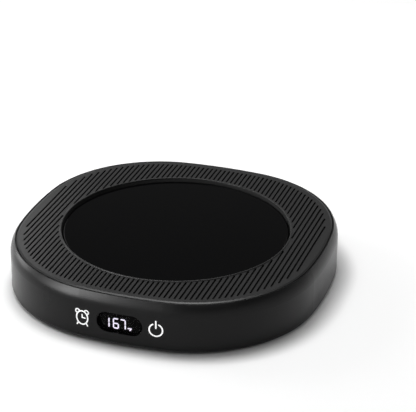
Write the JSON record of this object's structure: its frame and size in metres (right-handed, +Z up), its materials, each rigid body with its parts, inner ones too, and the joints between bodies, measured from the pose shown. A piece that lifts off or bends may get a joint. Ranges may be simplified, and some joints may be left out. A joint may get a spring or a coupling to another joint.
{
  "type": "electric mug warmer",
  "caption": "Low rounded-square electric mug warmer: grooved deck round a floating black glass heating plate, digit display and touch icons in the front wall, cord gland behind.",
  "frame": {"origin": "middle of the footprint, on the table that the rubber feet stand on", "axes": "+Z up through the warming plate, -Y out of the control panel, +X to the panel's right"},
  "size_m": [0.13, 0.13, 0.0217],
  "materials": {
    "shell_plastic": "fine satin texture",
    "deck_plastic": "fine satin texture",
    "base_plastic": "matte",
    "foot_rubber": "matte",
    "gland_rubber": "matte",
    "screw_steel": "zinc plated",
    "smoked_window": "polished, smoked",
    "lit_digits": "lit from behind",
    "display_black": "matte",
    "icon_white": "satin",
    "spring_steel": "drawn wire",
    "board_green": "solder mask",
    "chip_black": "moulded epoxy",
    "ribbon_grey": "flexible PVC",
    "header_white": "moulded nylon",
    "terminal_green": "moulded nylon",
    "fuse_glass": "clear tube with plated caps",
    "clip_brass": "plated",
    "capacitor_yellow": "moulded box",
    "can_aluminium": "bare",
    "varistor_blue": "dipped epoxy",
    "switch_black": "moulded",
    "lead_silicone": "silicone insulation",
    "plate_glass": "opaque black ceramic glass",
    "gasket_silicone": "matte",
    "carrier_plastic": "heat-resistant moulding",
    "spreader_aluminium": "rolled",
    "element_mica": "mica sheet with etched foil",
    "insulation_fibre": "pressed glass fibre",
    "shield_steel": "galvanised sheet",
    "sensor_black": "epoxy bead in a moulded body",
    "plunger_red": "moulded"
  },
  "bodies": {
    "housing": {"body_shell": "shell_plastic", "top_deck": "deck_plastic", "base_plate": "base_plastic", "feet": "foot_rubber", "housing_screws": "screw_steel", "cord_gland": "gland_rubber", "display_window": "smoked_window", "display_digits": "lit_digits", "display_module": "display_black", "timer_icon": "icon_white", "power_icon": "icon_white", "touch_springs": "spring_steel", "control_board": "board_green", "controller_chip": "chip_black", "ribbon_cable": "ribbon_grey", "ribbon_header": "header_white", "power_board": "board_green", "board_screws": "screw_steel", "terminal_block": "terminal_green", "mains_fuse": "fuse_glass", "fuse_clips": "clip_brass", "triac": "chip_black", "x_capacitor": "capacitor_yellow", "smoothing_capacitor": "can_aluminium", "varistor": "varistor_blue", "micro_switch": "switch_black", "switch_leads": "lead_silicone", "plate_springs": "spring_steel", "heater_leads": "lead_silicone", "sensor_leads": "lead_silicone"},
    "plate_assembly": {"warming_plate": "plate_glass", "plate_gasket": "gasket_silicone", "plate_carrier": "carrier_plastic", "heat_spreader": "spreader_aluminium", "heating_element": "element_mica", "insulation_pad": "insulation_fibre", "heat_shield": "shield_steel", "shield_screws": "screw_steel", "thermistor": "sensor_black", "thermal_fuse": "can_aluminium", "sensor_clip": "shield_steel", "switch_actuator": "carrier_plastic", "guide_screws": "screw_steel"},
    "plunger": {"switch_plunger": "plunger_red"}
  },
  "joints": [
    {"name": "plate_slide", "type": "slide", "parent": "housing", "child": "plate_assembly", "axis": [0, 0, 1], "range_m": [-0.0008, 0], "stiffness_N_per_m": 2000, "springref_m": 0.00125, "deforming": ["plate_springs", "heater_leads", "sensor_leads"]},
    {"name": "plunger_slide", "type": "slide", "parent": "housing", "child": "plunger", "axis": [0, 0, 1], "range_m": [-0.0008, 0]}
  ],
  "couplings": [
    {"joint": "plunger_slide", "follows": "plate_slide", "ratio": 1}
  ]
}
